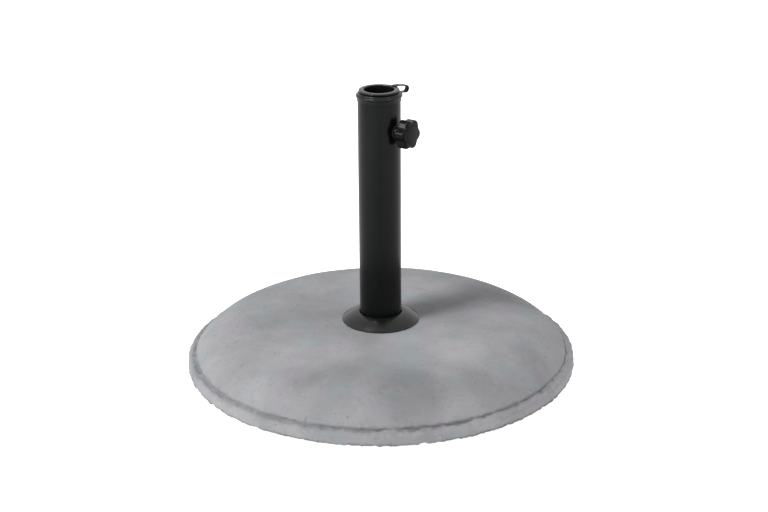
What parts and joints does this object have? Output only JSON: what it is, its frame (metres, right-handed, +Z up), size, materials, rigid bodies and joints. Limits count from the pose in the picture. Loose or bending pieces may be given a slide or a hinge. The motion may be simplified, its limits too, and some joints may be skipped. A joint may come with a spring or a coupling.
{
  "type": "parasol base",
  "caption": "Round concrete parasol base with a steel tube, reducer collar, rosette cover and a clamp screw that holds the parasol pole.",
  "frame": {"origin": "on the ground, at the middle of the round base, on the tube's axis", "axes": "+Z up along the tube; +Y away from the clamp knob's side; the clamp screw points 35.2 degrees from +X towards -Y"},
  "size_m": [0.449, 0.449, 0.3267],
  "materials": {
    "concrete": "matte",
    "black_powder_coat": "satin",
    "zinc_steel": "satin",
    "rosette_plastic": "satin",
    "black_plastic": "satin",
    "knob_plastic": "satin",
    "pad_rubber": "matte"
  },
  "bodies": {
    "base": {"concrete_base": "concrete", "stand_tube": "black_powder_coat", "tube_foot_plate": "black_powder_coat", "clamp_boss": "black_powder_coat", "tie_bolt": "zinc_steel", "tie_nut": "zinc_steel", "tie_bolt_washer": "zinc_steel", "tie_bolt_spring_washer": "zinc_steel", "top_collar": "black_plastic", "foot_pad_1": "pad_rubber", "foot_pad_2": "pad_rubber", "foot_pad_3": "pad_rubber", "foot_pad_4": "pad_rubber"},
    "rosette": {"cover_rosette": "rosette_plastic"},
    "reducer": {"reducer_sleeve": "black_plastic", "tether_strap": "black_plastic"},
    "thrust_pad": {"clamp_pad": "black_plastic"},
    "knob": {"clamp_knob": "knob_plastic", "knob_cap": "knob_plastic", "clamp_screw": "zinc_steel"}
  },
  "joints": [
    {"name": "rosette_lift", "type": "slide", "parent": "base", "child": "rosette", "axis": [0, 0, 1], "range_m": [0, 0.2]},
    {"name": "reducer_lift", "type": "slide", "parent": "base", "child": "reducer", "axis": [0, 0, 1], "range_m": [0, 0.026], "deforming": ["tether_strap"]},
    {"name": "screw_advance", "type": "slide", "parent": "base", "child": "thrust_pad", "axis": [0.8171, -0.5764, 0], "range_m": [-0.00625, 0]},
    {"name": "knob_turn", "type": "hinge", "parent": "thrust_pad", "child": "knob", "pos_m": [0, 0, 0.2797], "axis": [0.8171, -0.5764, 0], "range_deg": [-1801, 1]}
  ],
  "couplings": [
    {"joint": "knob_turn", "follows": "screw_advance", "rad_per_m": 5026.5}
  ]
}
